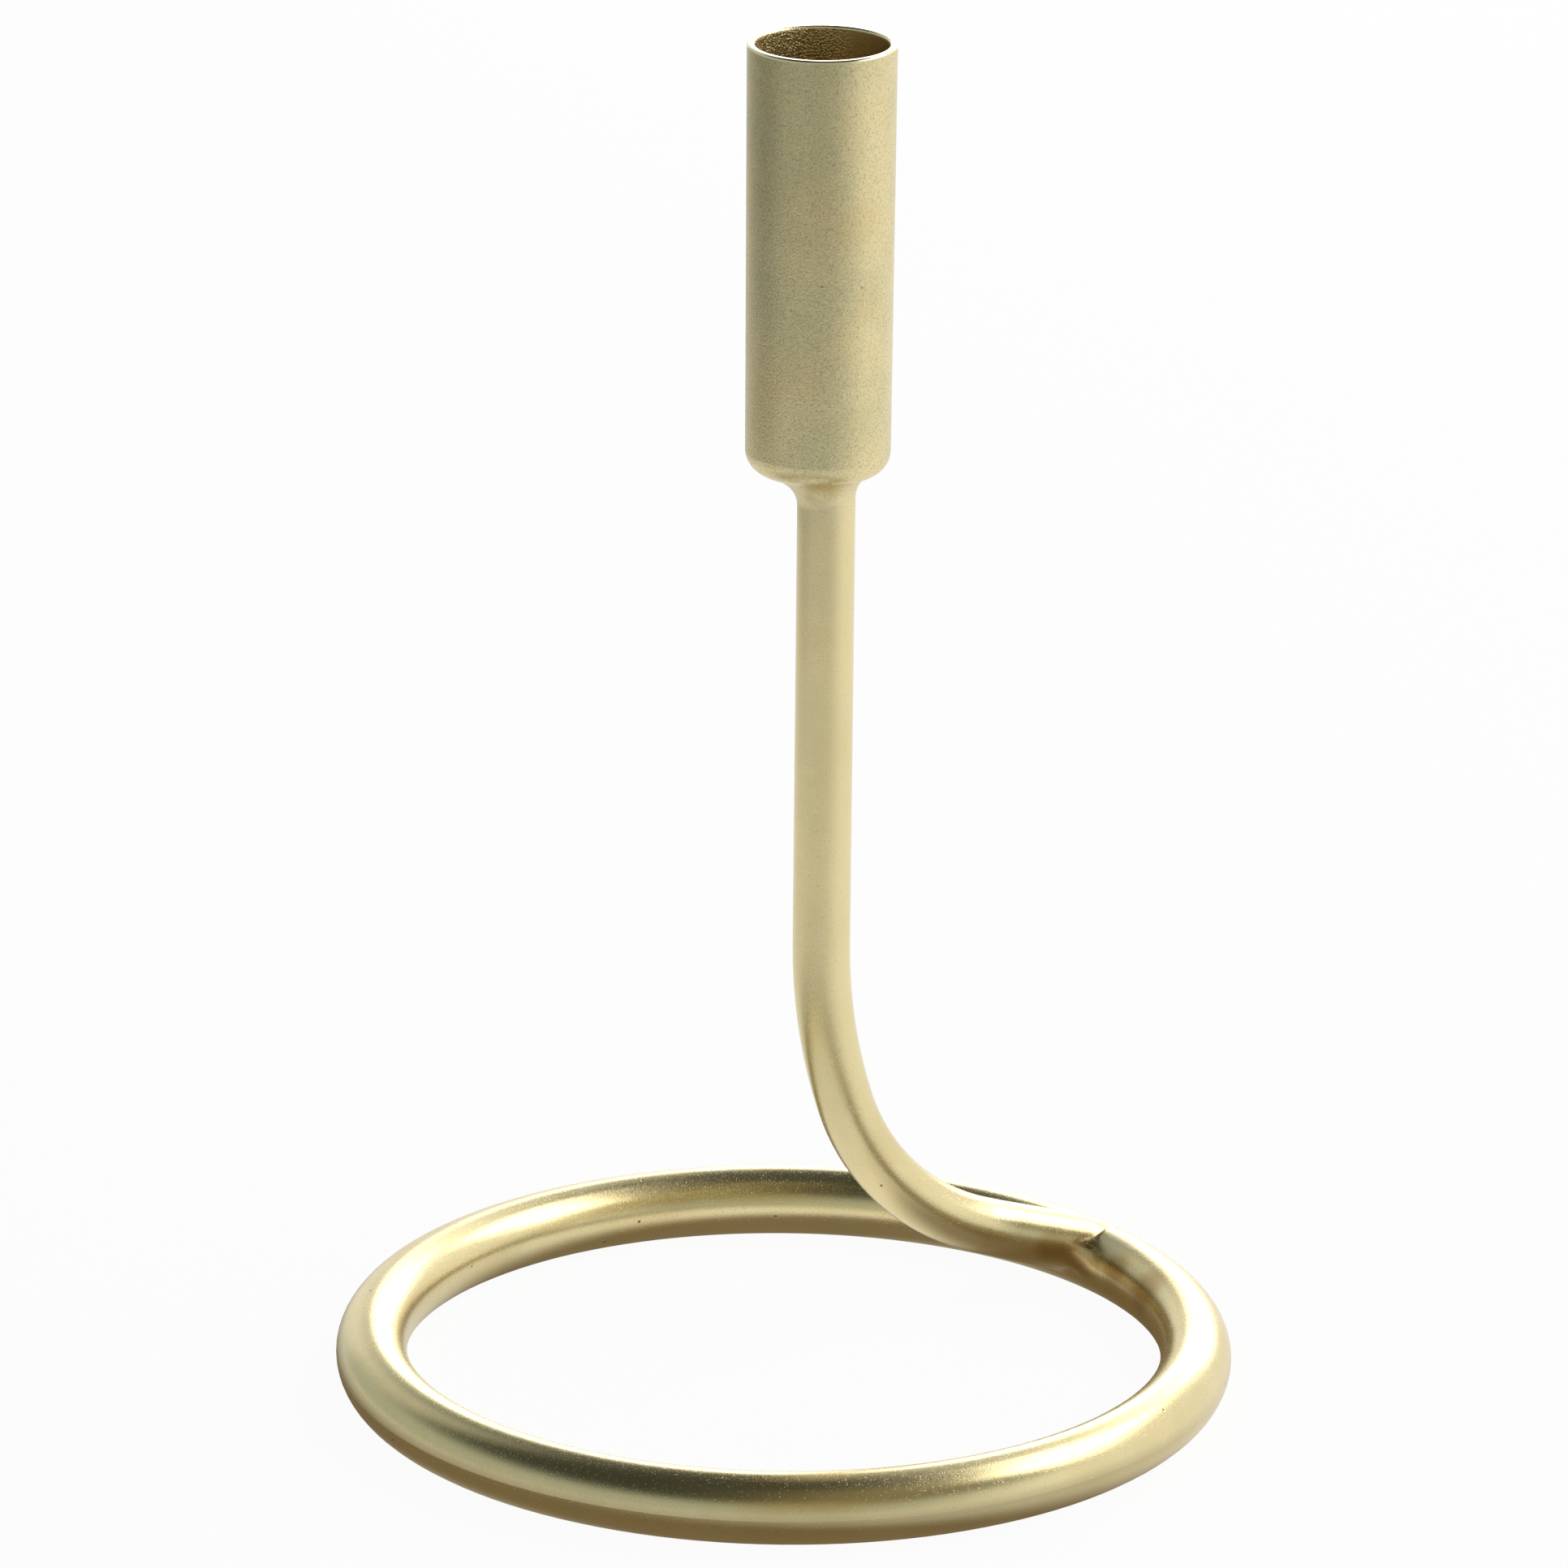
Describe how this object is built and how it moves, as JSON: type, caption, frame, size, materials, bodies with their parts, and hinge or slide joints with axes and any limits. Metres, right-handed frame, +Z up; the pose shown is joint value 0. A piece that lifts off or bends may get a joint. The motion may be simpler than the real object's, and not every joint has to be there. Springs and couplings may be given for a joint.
{
  "type": "candle holder",
  "caption": "Candle holder of round bar: a ring on the table, a bent stem rising from it and a slim cup on top for a taper candle, in a satin brass coat.",
  "frame": {"origin": "middle of the base ring, on the table", "axes": "+Z up; +X to the right and +Y away from the viewer of the picture"},
  "size_m": [0.152, 0.152, 0.228],
  "materials": {
    "brass_coat": "satin brass-coloured coat with a fine grain, on steel"
  },
  "bodies": {
    "root": {"base_ring": "brass_coat", "stem_rod": "brass_coat", "candle_cup": "brass_coat", "cup_weld": "brass_coat", "ring_weld": "brass_coat"}
  },
  "joints": []
}
